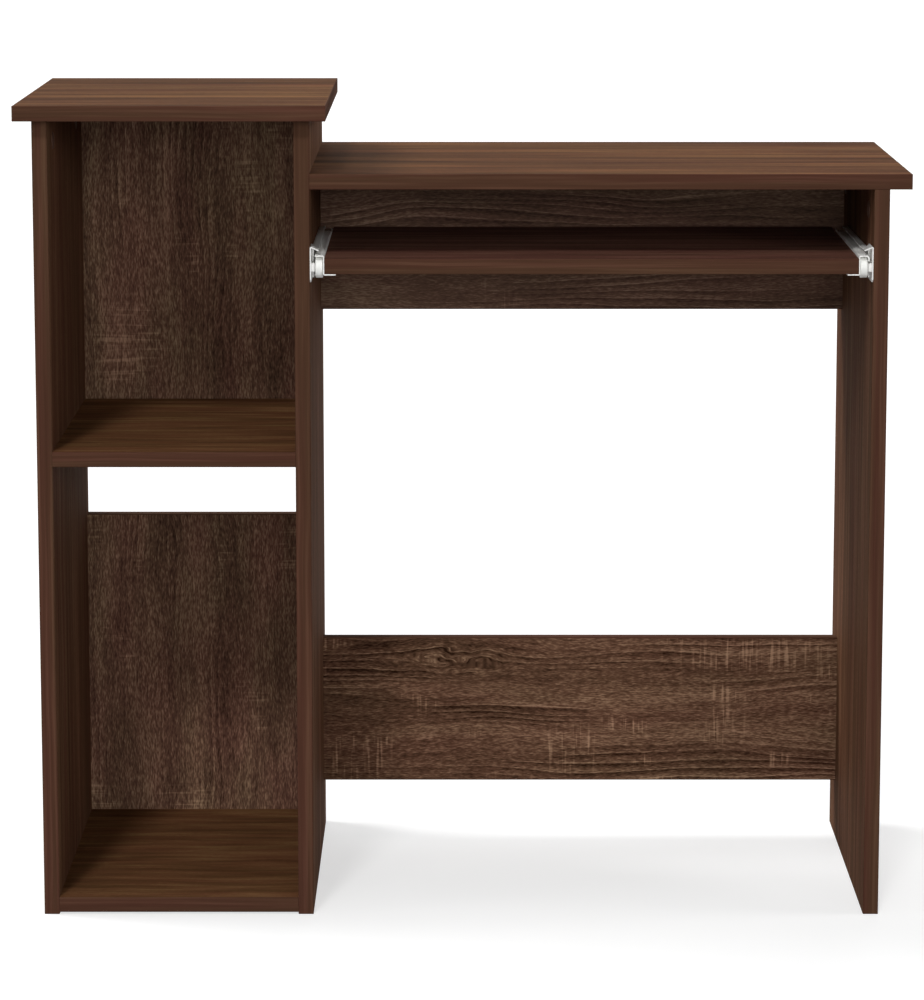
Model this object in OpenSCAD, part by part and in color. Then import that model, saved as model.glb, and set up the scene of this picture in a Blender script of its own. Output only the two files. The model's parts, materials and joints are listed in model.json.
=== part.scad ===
// Computer desk with a shelf tower on the left and a pull-out keyboard tray on roller slides.
// Laminated chipboard, joined by cam fittings and wooden dowels. Millimetres, +Z up, front faces -Y.
// The origin is on the floor, under the middle of the overall box.

/* [Boards] */
// Thickness of every board
board_t = 15; // [12:1:19]
// Thickness of the edging strips
edging_t = 1; // [0.5:0.5:2]
// Depth of the side panels, shelves and desk top
panel_d = 380; // [340:5:450]

/* [Tower] */
// Outer width over the two tower panels
tower_w = 267; // [220:1:400]
// Height of the tower panels
tower_panel_h = 787; // [760:1:900]
// How far the tower top stands out past the panels at each side
tower_side_overhang = 16.5; // [0:0.5:30]
// How far the tower top stands out past the panels in front
tower_front_overhang = 20; // [0:1:40]
// Height of the middle shelf's top face
middle_shelf_z = 464; // [400:1:500]
// Gap under the bottom shelf
bottom_shelf_gap = 2; // [0:0.5:10]

/* [Desk] */
// Height of the desk top's upper face
desk_h = 735; // [720:1:750]
// Clear width between the centre panel and the right panel
knee_w = 545; // [500:1:700]
// How far the desk top stands out past the right panel
desk_overhang = 21.5; // [0:0.5:40]
// Height of the two rails between the panels
rail_h = 155; // [120:1:180]
// Height of the lower rail's bottom edge
lower_rail_z = 60; // [40:1:120]
// Distance from the rails' back faces to the back of the panels
rail_inset = 45; // [0:1:60]

/* [Keyboard tray] */
// Height of the tray's underside
tray_z = 638; // [600:1:650]
// Depth of the tray
tray_d = 305; // [270:1:310]
// Gap between a panel and the tray, filled by one slide
slide_gap = 14; // [13.5:0.5:16]
// Length of the slides
slide_len = 260; // [250:1:300]
// How far the tray pulls out
tray_travel = 185; // [150:5:190]
// Thickness of the slides' steel sheet
sheet_t = 1.2; // [1:0.1:1.5]
// Diameter of the nylon rollers
roller_d = 21; // [18:1:22]
// Diameter of the roller axles
axle_d = 6; // [5:0.5:7]

/* [Fittings] */
// Diameter of a cam housing
cam_d = 15; // [12:1:15]
// Distance from a board's end to the middle of its cam
cam_setback = 24; // [20:1:34]
// Diameter of the wooden dowels
dowel_d = 8; // [6:1:8]
// Length of the wooden dowels
dowel_len = 30; // [25:1:35]

/* [Hidden] */
$fn = 48;
eps = 0.01;

oak = "#5a3f30";
oak_edge = "#4b3328";
white_steel = "#e9e8e4";
nylon = "#f4f4f0";
zinc = "#b9bbbd";
beech = "#c9a777";

// Overall box and the front and back planes of the panels
total_w = tower_side_overhang + tower_w + knee_w + board_t + desk_overhang;
total_d = panel_d + tower_front_overhang;
front_y = tower_front_overhang - total_d / 2;
back_y = front_y + panel_d;

// Left faces of the three panels, and the inner faces that face each space
left_x = tower_side_overhang - total_w / 2;
centre_x = left_x + tower_w - board_t;
right_x = centre_x + board_t + knee_w;
tower_in_x = left_x + board_t;
tower_in_w = tower_w - 2 * board_t;
knee_x = centre_x + board_t;
tower_top_w = tower_w + 2 * tower_side_overhang;
desk_top_w = knee_w + board_t + desk_overhang;

// Heights
desk_under_z = desk_h - board_t;
bottom_shelf_top_z = bottom_shelf_gap + board_t;
middle_shelf_under_z = middle_shelf_z - board_t;
// The two tower backs are one size: the upper one fills from the middle shelf to the top
tower_back_h = tower_panel_h - middle_shelf_z;
upper_rail_z = desk_under_z - rail_h;
rail_y = back_y - rail_inset - board_t;

// Slides: distances are from the panel's face (u), the front plane (v) and the floor (z)
tray_w = knee_w - 2 * slide_gap;
tray_x = knee_x + slide_gap;
tray_top_z = tray_z + board_t;
roller_r = roller_d / 2;
axle_z = tray_z + 6;
front_axle_v = 12;
rear_axle_v = slide_len - 12;
roller_u = 5.3;
roller_w = 5.4;
axle_clear = 0.05;
// the tray slide's flange rides on the front roller; the rear roller runs on the track
tray_flange_z = axle_z + roller_r + 0.5;
track_z = axle_z - roller_r - 0.3 - sheet_t;
track_u = 12.2;
cabinet_top_z = tray_flange_z + sheet_t + 1;
plate_v = 35;
plate_top_z = cabinet_top_z + 7.5;
tray_web_u = slide_gap - sheet_t;
tray_flange_u = 4.9;
tray_foot_u = slide_gap + 11;
slide_screw_r = 1.75;
cabinet_screw_vs = [42, 130, 225];
screw_z = tray_z + 4;
tray_screw_vs = [30, 130, 240];
tray_screw_u = slide_gap + 6;
// a tab this high turns up from the track and stops the rear roller at this distance from its axle
stop_h = 3.8;
stop_reach = sqrt(pow(roller_r, 2) - pow(roller_r + 0.3 - stop_h, 2)) + 0.4;

// Fittings, each as [kind, flip, place]. Its place is on the plane where the two boards meet.
// "shelf" has its cam in the underside, "back" in the rear face, "top" in the panel's inner face.
// flip 0 puts the board with the cam on the +X side (its cam on the -X face for "top"), 1 mirrors it.
cam_vs = [55, panel_d - 80];
dowel_vs = [95, panel_d - 120];
back_cam_dz = 60;
rail_dowel_dz = 35;
// Clearance round each fitting in its hole
hole_clear = 0.05;
bolt_thread = 11;
cam_depth = 12.5;

function pairs(kind, z, x0, x1, vs) =
    [for (v = vs) each [[kind, 0, [x0, front_y + v, z]], [kind, 1, [x1, front_y + v, z]]]];
function rows(y, x0, x1, zs) =
    [for (z = zs) each [["back", 0, [x0, y, z]], ["back", 1, [x1, y, z]]]];

shelf_x0 = tower_in_x;
shelf_x1 = centre_x;
middle_z = middle_shelf_z - board_t / 2;
bottom_z = bottom_shelf_gap + board_t / 2;
desk_mid_z = desk_h - board_t / 2;
tower_back_mid_y = back_y - board_t / 2;
rail_mid_y = rail_y + board_t / 2;

middle_cams = pairs("shelf", middle_z, shelf_x0, shelf_x1, cam_vs);
bottom_cams = pairs("shelf", bottom_z, shelf_x0, shelf_x1, cam_vs);
middle_dowels = pairs("shelf", middle_z, shelf_x0, shelf_x1, dowel_vs);
bottom_dowels = pairs("shelf", bottom_z, shelf_x0, shelf_x1, dowel_vs);

upper_back_cams = rows(tower_back_mid_y, shelf_x0, shelf_x1,
    [middle_shelf_z + back_cam_dz, tower_panel_h - back_cam_dz]);
lower_back_cams = rows(tower_back_mid_y, shelf_x0, shelf_x1,
    [bottom_shelf_top_z + back_cam_dz, bottom_shelf_top_z + tower_back_h - back_cam_dz]);

upper_rail_cams = rows(rail_mid_y, knee_x, right_x, [upper_rail_z + rail_h / 2]);
lower_rail_cams = rows(rail_mid_y, knee_x, right_x, [lower_rail_z + rail_h / 2]);
upper_rail_dowels = rows(rail_mid_y, knee_x, right_x,
    [for (s = [-1, 1]) upper_rail_z + rail_h / 2 + s * rail_dowel_dz]);
lower_rail_dowels = rows(rail_mid_y, knee_x, right_x,
    [for (s = [-1, 1]) lower_rail_z + rail_h / 2 + s * rail_dowel_dz]);

desk_left_cams = [for (v = cam_vs) ["shelf", 0, [knee_x, front_y + v, desk_mid_z]]];
desk_left_dowels = [for (v = dowel_vs) ["shelf", 0, [knee_x, front_y + v, desk_mid_z]]];
desk_right_cams = [for (v = cam_vs) ["top", 0, [right_x + board_t / 2, front_y + v, desk_under_z]]];
desk_right_dowels = [for (v = dowel_vs) ["top", 0, [right_x + board_t / 2, front_y + v, desk_under_z]]];

tower_left_cams = [for (v = cam_vs) ["top", 1, [left_x + board_t / 2, front_y + v, tower_panel_h]]];
tower_left_dowels = [for (v = dowel_vs) ["top", 1, [left_x + board_t / 2, front_y + v, tower_panel_h]]];
tower_centre_cams = [for (v = cam_vs) ["top", 0, [centre_x + board_t / 2, front_y + v, tower_panel_h]]];
tower_centre_dowels = [for (v = dowel_vs) ["top", 0, [centre_x + board_t / 2, front_y + v, tower_panel_h]]];

function at_left_end(list) = [for (f = list) if (f[1] == 0) f];
function at_right_end(list) = [for (f = list) if (f[1] == 1) f];

tower_cams = concat(middle_cams, bottom_cams, upper_back_cams, lower_back_cams);
tower_dowels = concat(middle_dowels, bottom_dowels);
rail_cams = concat(upper_rail_cams, lower_rail_cams);
rail_dowels = concat(upper_rail_dowels, lower_rail_dowels);
all_cams = concat(tower_cams, rail_cams, desk_left_cams, desk_right_cams,
    tower_left_cams, tower_centre_cams);
// covers go only where the cams can be seen
capped_cams = concat(middle_cams, desk_left_cams, desk_right_cams, tower_left_cams, tower_centre_cams);
all_dowels = concat(tower_dowels, rail_dowels, desk_left_dowels, desk_right_dowels,
    tower_left_dowels, tower_centre_dowels);

// ---- Fittings ----

// Turns a fitting's own frame, where +X runs into the board with the cam and -Z is its cam face
module fit(f) {
    turn = f[0] == "back" ? [90, 0, 0] : f[0] == "top" ? [0, 90, 0] : [0, 0, 0];
    translate(f[2])
        mirror([f[1], 0, 0])
            rotate(turn)
                children();
}

// A rod along +X from x0 to x1
module rod(x0, x1, r) {
    translate([x0, 0, 0])
        rotate([0, 90, 0])
            cylinder(h = x1 - x0, r = r);
}

module cam_holes() {
    translate([cam_setback, 0, -board_t / 2 - eps])
        cylinder(h = cam_depth + eps, r = cam_d / 2);
    rod(-eps, cam_setback, 4);
    rod(-bolt_thread - 0.5, eps, 2.5);
}

module dowel_hole() {
    in_face = dowel_len / 3;
    rod(-in_face, dowel_len - in_face + 0.5, dowel_d / 2 + hole_clear);
}

module cam_housing() {
    slot = [8, 1.4];
    slot_depth = 2;
    difference() {
        translate([cam_setback, 0, -board_t / 2])
            cylinder(h = cam_depth, r = cam_d / 2 - hole_clear);
        // pocket that swallows the bolt's head
        rod(cam_setback - cam_d / 2 - 1, cam_setback + 4, 3.6);
        // cross slot for the screwdriver
        for (a = [0, 90])
            translate([cam_setback, 0, -board_t / 2])
                rotate([0, 0, a])
                    cube([slot[0], slot[1], 2 * slot_depth], center = true);
    }
}

// A turned steel bolt: thread in the panel, collar, shank, neck and a round head inside the cam
module cam_bolt() {
    head_x = cam_setback + 2.5;
    rotate([0, 90, 0])
        rotate_extrude()
            polygon([
                [0, -bolt_thread], [1.6, -bolt_thread], [2.45, -bolt_thread + 1.5], [2.45, 0],
                [3.6, 0], [3.6, 1.5], [3, 2], [3, head_x - 8], [1.9, head_x - 7], [1.9, head_x - 4],
                [3.3, head_x - 3], [3.3, head_x - 1], [2.4, head_x], [0, head_x]
            ]);
}

// A shallow domed cover over the cam
module cam_cap() {
    cap_r = cam_d / 2 + 1;
    translate([cam_setback, 0, -board_t / 2])
        mirror([0, 0, 1])
            rotate_extrude()
                polygon([[0, 0], [cap_r, 0], [cap_r, 0.4], [cap_r - 0.8, 0.9], [0, 1]]);
}

module dowel() {
    in_face = dowel_len / 3;
    chamfer = 1;
    r = dowel_d / 2;
    rotate([0, 90, 0])
        rotate_extrude()
            polygon([
                [0, -in_face], [r - chamfer, -in_face], [r, -in_face + chamfer],
                [r, dowel_len - in_face - chamfer], [r - chamfer, dowel_len - in_face],
                [0, dowel_len - in_face]
            ]);
}

module cam_housings() color(zinc) for (f = all_cams) fit(f) cam_housing();
module cam_bolts() color(zinc) for (f = all_cams) fit(f) cam_bolt();
module cam_caps() color(oak) for (f = capped_cams) fit(f) cam_cap();
module wooden_dowels() color(beech) for (f = all_dowels) fit(f) dowel();

// A board from its corner, drilled for its fittings
module board(corner, size, cams = [], dowels = []) {
    difference() {
        translate(corner)
            cube(size);
        for (f = cams) fit(f) cam_holes();
        for (f = dowels) fit(f) dowel_hole();
        children();
    }
}

// ---- Carcase boards ----

module left_side_panel() color(oak)
    board([left_x, front_y + edging_t, 0], [board_t, panel_d - edging_t, tower_panel_h],
        concat(at_left_end(tower_cams), tower_left_cams),
        concat(at_left_end(tower_dowels), tower_left_dowels));

module centre_panel() color(oak)
    board([centre_x, front_y + edging_t, 0], [board_t, panel_d - edging_t, tower_panel_h],
        concat(at_right_end(tower_cams), at_left_end(rail_cams), desk_left_cams, tower_centre_cams),
        concat(at_right_end(tower_dowels), at_left_end(rail_dowels), desk_left_dowels, tower_centre_dowels))
        panel_screw_holes(knee_x, 0);

module right_side_panel() color(oak)
    board([right_x, front_y + edging_t, 0], [board_t, panel_d - edging_t, desk_under_z],
        concat(at_right_end(rail_cams), desk_right_cams),
        concat(at_right_end(rail_dowels), desk_right_dowels))
        panel_screw_holes(right_x, 1);

module tower_top() color(oak)
    board([edging_t - total_w / 2, edging_t - total_d / 2, tower_panel_h],
        [tower_top_w - 2 * edging_t, total_d - edging_t, board_t],
        concat(tower_left_cams, tower_centre_cams),
        concat(tower_left_dowels, tower_centre_dowels));

module desk_top() color(oak)
    board([knee_x, front_y + edging_t, desk_under_z],
        [desk_top_w - edging_t, panel_d - edging_t, board_t],
        concat(desk_left_cams, desk_right_cams),
        concat(desk_left_dowels, desk_right_dowels));

module shelf(z, cams, dowels) color(oak)
    board([tower_in_x, front_y + edging_t, z], [tower_in_w, panel_d - edging_t, board_t], cams, dowels);

module middle_shelf() shelf(middle_shelf_under_z, middle_cams, middle_dowels);
module bottom_shelf() shelf(bottom_shelf_gap, bottom_cams, bottom_dowels);

module upper_tower_back() color(oak)
    board([tower_in_x, back_y - board_t, middle_shelf_z], [tower_in_w, board_t, tower_back_h],
        upper_back_cams);

module lower_tower_back() color(oak)
    board([tower_in_x, back_y - board_t, bottom_shelf_top_z],
        [tower_in_w, board_t, tower_back_h - edging_t], lower_back_cams);

module upper_rail() color(oak)
    board([knee_x, rail_y, upper_rail_z + edging_t], [knee_w, board_t, rail_h - edging_t],
        upper_rail_cams, upper_rail_dowels);

module lower_rail() color(oak)
    board([knee_x, rail_y, lower_rail_z + edging_t], [knee_w, board_t, rail_h - 2 * edging_t],
        lower_rail_cams, lower_rail_dowels);

// ---- Edging strips ----

// A strip along a board's front edge
module front_strip(x, w, z, h, y = front_y) {
    color(oak_edge)
        translate([x, y, z])
            cube([w, edging_t, h]);
}

// A strip that lies flat on a horizontal edge of a back board or rail
module flat_strip(x, w, y, z) {
    color(oak_edge)
        translate([x, y, z])
            cube([w, board_t, edging_t]);
}

module left_side_edging() front_strip(left_x, board_t, 0, tower_panel_h);
module centre_panel_edging() front_strip(centre_x, board_t, 0, tower_panel_h);
module right_side_edging() front_strip(right_x, board_t, 0, desk_under_z);
module middle_shelf_edging() front_strip(tower_in_x, tower_in_w, middle_shelf_under_z, board_t);
module bottom_shelf_edging() front_strip(tower_in_x, tower_in_w, bottom_shelf_gap, board_t);

// Front strip with a side strip at each end
module tower_top_edging() {
    x0 = -total_w / 2;
    y0 = -total_d / 2;
    front_strip(x0, tower_top_w, tower_panel_h, board_t, y0);
    for (x = [x0, x0 + tower_top_w - edging_t])
        color(oak_edge)
            translate([x, y0 + edging_t, tower_panel_h])
                cube([edging_t, total_d - edging_t, board_t]);
}

module desk_top_edging() {
    front_strip(knee_x, desk_top_w, desk_under_z, board_t);
    color(oak_edge)
        translate([knee_x + desk_top_w - edging_t, front_y + edging_t, desk_under_z])
            cube([edging_t, panel_d - edging_t, board_t]);
}

module lower_tower_back_edging()
    flat_strip(tower_in_x, tower_in_w, back_y - board_t, bottom_shelf_top_z + tower_back_h - edging_t);
module upper_rail_edging() flat_strip(knee_x, knee_w, rail_y, upper_rail_z);
module lower_rail_edging()
    for (z = [lower_rail_z, lower_rail_z + rail_h - edging_t]) flat_strip(knee_x, knee_w, rail_y, z);

// ---- Slides ----

// Puts a slide's own frame (u, v, z) against the panel face at x; side 1 mirrors it
module against(x, side) {
    translate([x, front_y, 0])
        mirror([side, 0, 0])
            children();
}

// A sheet profile drawn in u and z, run from v0 to v1
module run(v0, v1) {
    translate([0, v1, 0])
        rotate([90, 0, 0])
            linear_extrude(v1 - v0)
                children();
}

module bar(u0, u1, z0, z1) {
    translate([u0, z0])
        square([u1 - u0, z1 - z0]);
}

// Channel that is screwed to the panel: tall front plate with an ear, then a C-shaped track
module cabinet_slide() {
    difference() {
        union() {
            run(plate_v - 8, slide_len) {
                bar(0, sheet_t, track_z, cabinet_top_z + sheet_t);
                bar(0, 7, cabinet_top_z, cabinet_top_z + sheet_t);
            }
            // the track widens under and behind the front roller, and its edge turns up
            translate([0, 0, track_z])
                linear_extrude(sheet_t)
                    polygon([
                        [0, 1], [sheet_t, 1], [5, 32], [track_u, 44], [track_u, slide_len], [0, slide_len]
                    ]);
            run(48, slide_len)
                bar(track_u - sheet_t, track_u, track_z, track_z + 3);
            // front plate
            rotate([90, 0, 90])
                linear_extrude(sheet_t)
                    polygon([
                        [1, plate_top_z], [plate_v, plate_top_z], [plate_v + 5, cabinet_top_z + sheet_t],
                        [plate_v + 5, track_z - 2], [3, track_z - 2], [1, track_z]
                    ]);
            translate([0, 0, plate_top_z - sheet_t])
                linear_extrude(sheet_t)
                    polygon([[0, 1], [9, 3], [8, 8], [sheet_t, plate_v], [0, plate_v]]);
            // stops for the rear roller, tray out and tray in
            for (v = [rear_axle_v - tray_travel - stop_reach - sheet_t, rear_axle_v + stop_reach])
                translate([3, v, track_z])
                    cube([6, sheet_t, sheet_t + stop_h]);
        }
        for (v = cabinet_screw_vs)
            translate([0, v, screw_z])
                rod(-1, sheet_t + 1, slide_screw_r + 0.4);
        translate([0, front_axle_v, axle_z])
            rod(-1, sheet_t + 1, axle_d / 2 + hole_clear);
    }
}

// Angle that carries the tray: foot flange under it, web beside it, top flange that rides on the roller
module tray_slide(lip) {
    web_top = tray_flange_z + sheet_t;
    difference() {
        union() {
            run(0, slide_len) {
                bar(tray_web_u, tray_foot_u, tray_z - sheet_t, tray_z);
                bar(tray_web_u, slide_gap, tray_z - sheet_t, web_top);
            }
            run(0, rear_axle_v - roller_r - 3)
                bar(tray_flange_u - (lip ? sheet_t : 0), slide_gap, tray_flange_z, web_top);
            // the right slide keeps the tray in line with a lip that hangs outside the roller
            if (lip)
                run(0, rear_axle_v - roller_r - 3)
                    bar(tray_flange_u - sheet_t, tray_flange_u, tray_flange_z - 4.5, web_top);
        }
        for (v = tray_screw_vs)
            translate([tray_screw_u, v, tray_z - sheet_t - 1])
                cylinder(h = sheet_t + 2, r = slide_screw_r + 0.4);
        translate([0, rear_axle_v, axle_z])
            rod(tray_web_u - 1, slide_gap + 1, axle_d / 2 + hole_clear);
    }
}

// A pan head screw along +X, its head's underside at x = 0
module pan_screw(shank) {
    head_r = 3.4;
    rotate([0, 90, 0])
        difference() {
            rotate_extrude()
                polygon([
                    [0, -1.7], [1.9, -1.6], [head_r - 0.3, -1], [head_r, -0.4], [head_r, 0],
                    [slide_screw_r - hole_clear, 0], [slide_screw_r - hole_clear, shank - 2], [0, shank]
                ]);
            for (a = [0, 90])
                rotate([0, 0, a])
                    translate([-1.8, -0.35, -2])
                        cube([3.6, 0.7, 1.2]);
        }
}

// Riveted axle of a front roller: tail in the panel plate, spacer, journal and head
module front_axle() {
    rotate([0, 90, 0])
        rotate_extrude()
            polygon([
                [0, 0], [axle_d / 2, 0], [axle_d / 2, sheet_t], [4.25, sheet_t], [4.25, roller_u - 0.1],
                [axle_d / 2, roller_u - 0.1], [axle_d / 2, roller_u + roller_w + 0.1],
                [4.25, roller_u + roller_w + 0.1], [3.6, roller_u + roller_w + 0.9],
                [0, roller_u + roller_w + 0.9]
            ]);
}

// The same axle, riveted into the tray slide's web and pointing at the panel
module rear_axle() {
    rotate([0, 90, 0])
        rotate_extrude()
            polygon([
                [0, slide_gap], [axle_d / 2, slide_gap], [axle_d / 2, tray_web_u], [4.25, tray_web_u],
                [4.25, roller_u + roller_w + 0.1], [axle_d / 2, roller_u + roller_w + 0.1],
                [axle_d / 2, roller_u - 0.1], [4.25, roller_u - 0.1], [3.6, roller_u - 0.9],
                [0, roller_u - 0.9]
            ]);
}

// A nylon roller with a turned groove in each face
module roller() {
    bore_r = axle_d / 2 + axle_clear;
    round_r = 0.6;
    rotate([0, 90, 0])
        rotate_extrude()
            polygon([
                [bore_r, roller_u], [bore_r + 2, roller_u], [bore_r + 2.6, roller_u + 0.6],
                [roller_r - 2.6, roller_u + 0.6], [roller_r - 2, roller_u], [roller_r - round_r, roller_u],
                [roller_r, roller_u + round_r], [roller_r, roller_u + roller_w - round_r],
                [roller_r - round_r, roller_u + roller_w], [roller_r - 2, roller_u + roller_w],
                [roller_r - 2.6, roller_u + roller_w - 0.6], [bore_r + 2.6, roller_u + roller_w - 0.6],
                [bore_r + 2, roller_u + roller_w], [bore_r, roller_u + roller_w]
            ]);
}

module at_front_axle(x, side) against(x, side) translate([0, front_axle_v, axle_z]) children();
module at_rear_axle(x, side) against(x, side) translate([0, rear_axle_v, axle_z]) children();

// Pilot holes for a slide's screws, in the panel whose face is at x
module panel_screw_holes(x, side)
    against(x, side)
        for (v = cabinet_screw_vs)
            translate([0, v, screw_z])
                rod(-12.5, eps, slide_screw_r);

module left_cabinet_slide() color(white_steel) against(knee_x, 0) cabinet_slide();
module right_cabinet_slide() color(white_steel) against(right_x, 1) cabinet_slide();
module left_tray_slide() color(white_steel) against(knee_x, 0) tray_slide(false);
module right_tray_slide() color(white_steel) against(right_x, 1) tray_slide(true);
module front_axles() color(zinc) {
    at_front_axle(knee_x, 0) front_axle();
    at_front_axle(right_x, 1) front_axle();
}
module rear_axles() color(zinc) {
    at_rear_axle(knee_x, 0) rear_axle();
    at_rear_axle(right_x, 1) rear_axle();
}
module left_front_roller() color(nylon) at_front_axle(knee_x, 0) roller();
module right_front_roller() color(nylon) at_front_axle(right_x, 1) roller();
module left_rear_roller() color(nylon) at_rear_axle(knee_x, 0) roller();
module right_rear_roller() color(nylon) at_rear_axle(right_x, 1) roller();

module cabinet_slide_screws() color(zinc)
    for (end = [[knee_x, 0], [right_x, 1]])
        against(end[0], end[1])
            for (v = cabinet_screw_vs)
                translate([sheet_t, v, screw_z])
                    mirror([1, 0, 0])
                        pan_screw(12);

module tray_slide_screws() color(zinc)
    for (end = [[knee_x, 0], [right_x, 1]])
        against(end[0], end[1])
            for (v = tray_screw_vs)
                translate([tray_screw_u, v, tray_z - sheet_t])
                    rotate([0, -90, 0])
                        pan_screw(12);

// ---- Keyboard tray ----

module keyboard_tray() color(oak)
    difference() {
        translate([tray_x, front_y + edging_t, tray_z])
            cube([tray_w, tray_d - edging_t, board_t]);
        for (end = [[knee_x, 0], [right_x, 1]])
            against(end[0], end[1])
                for (v = tray_screw_vs)
                    translate([tray_screw_u, v, tray_z - eps])
                        cylinder(h = 12, r = slide_screw_r);
    }

module keyboard_tray_edging() front_strip(tray_x, tray_w, tray_z, board_t);

left_side_panel();
centre_panel();
right_side_panel();
tower_top();
desk_top();
middle_shelf();
bottom_shelf();
upper_tower_back();
lower_tower_back();
upper_rail();
lower_rail();
left_side_edging();
centre_panel_edging();
right_side_edging();
tower_top_edging();
desk_top_edging();
middle_shelf_edging();
bottom_shelf_edging();
lower_tower_back_edging();
upper_rail_edging();
lower_rail_edging();
cam_housings();
cam_bolts();
cam_caps();
wooden_dowels();
left_cabinet_slide();
right_cabinet_slide();
front_axles();
cabinet_slide_screws();
left_front_roller();
right_front_roller();
keyboard_tray();
keyboard_tray_edging();
left_tray_slide();
right_tray_slide();
rear_axles();
tray_slide_screws();
left_rear_roller();
right_rear_roller();
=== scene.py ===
"""A flat-pack computer desk in brown oak laminate: a shelf tower, a desk top and a keyboard tray on
white roller slides. The boards and their fittings come with the frame and get their finishes here. The
edge bands, slides and rollers are modelled here, and the floor, lights and camera are set."""

import json
import math

import bmesh
import bpy
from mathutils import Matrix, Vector


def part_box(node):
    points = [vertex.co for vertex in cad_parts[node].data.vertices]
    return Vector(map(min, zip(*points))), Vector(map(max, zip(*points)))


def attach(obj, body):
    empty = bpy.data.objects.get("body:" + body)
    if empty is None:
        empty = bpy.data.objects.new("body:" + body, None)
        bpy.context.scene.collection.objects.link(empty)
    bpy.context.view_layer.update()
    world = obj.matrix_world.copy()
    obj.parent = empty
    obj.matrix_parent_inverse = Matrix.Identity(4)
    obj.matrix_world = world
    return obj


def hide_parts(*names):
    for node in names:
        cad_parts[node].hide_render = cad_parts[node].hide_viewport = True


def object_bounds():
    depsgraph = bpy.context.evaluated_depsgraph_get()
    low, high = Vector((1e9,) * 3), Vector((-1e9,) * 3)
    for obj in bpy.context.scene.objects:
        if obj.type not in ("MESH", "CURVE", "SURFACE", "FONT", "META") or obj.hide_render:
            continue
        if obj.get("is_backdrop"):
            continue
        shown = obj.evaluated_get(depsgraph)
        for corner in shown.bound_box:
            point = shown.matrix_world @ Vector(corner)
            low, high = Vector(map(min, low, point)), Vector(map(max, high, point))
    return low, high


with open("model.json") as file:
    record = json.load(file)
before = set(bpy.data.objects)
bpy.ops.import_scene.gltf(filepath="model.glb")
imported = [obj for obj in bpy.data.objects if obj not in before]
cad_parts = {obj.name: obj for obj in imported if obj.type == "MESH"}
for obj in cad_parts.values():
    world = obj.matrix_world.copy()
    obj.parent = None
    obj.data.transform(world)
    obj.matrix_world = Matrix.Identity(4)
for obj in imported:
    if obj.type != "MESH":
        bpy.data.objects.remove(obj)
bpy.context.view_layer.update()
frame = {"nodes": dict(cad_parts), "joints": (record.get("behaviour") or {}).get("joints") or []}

MM = 0.001

# ---- Camera: about four metres in front, 0.3 m above the tower top, looking slightly down ----

camera_height = 1.093
camera_distance = 4.174
camera_side = -0.0018
camera_tilt = math.radians(9.61)
camera_lens = 149.46

bpy.ops.object.camera_add(
    location=(camera_side, -camera_distance, camera_height),
    rotation=(math.pi / 2 - camera_tilt, 0, 0),
)
camera = bpy.context.object
camera.data.lens = camera_lens
bpy.context.scene.camera = camera
bpy.context.scene.view_settings.view_transform = "Standard"

# ---- Materials ----


def tint(hex_colour):
    """An sRGB hex colour as linear RGBA."""
    parts = [int(hex_colour[i : i + 2], 16) / 255 for i in (1, 3, 5)]
    linear = [p / 12.92 if p <= 0.04045 else ((p + 0.055) / 1.055) ** 2.4 for p in parts]
    return (*linear, 1)


def add(tree, kind, sockets=None, output=0, **settings):
    """Adds a shader node, sets its properties, fills its sockets with values or with other nodes'
    outputs, and returns one of its own outputs."""
    made = tree.nodes.new("ShaderNode" + kind)
    for name, value in settings.items():
        setattr(made, name, value)
    for key, value in (sockets or {}).items():
        if isinstance(value, bpy.types.NodeSocket):
            tree.links.new(value, made.inputs[key])
        else:
            made.inputs[key].default_value = value
    return made.outputs[output]


def surface(name, **sockets):
    """A new material, its node tree and its shader, with the sockets that are the same all over."""
    made = bpy.data.materials.new(name)
    made.use_nodes = True
    shader = made.node_tree.nodes["Principled BSDF"]
    for key, value in sockets.items():
        shader.inputs[key.replace("_", " ")].default_value = value
    return made, made.node_tree, shader


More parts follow.
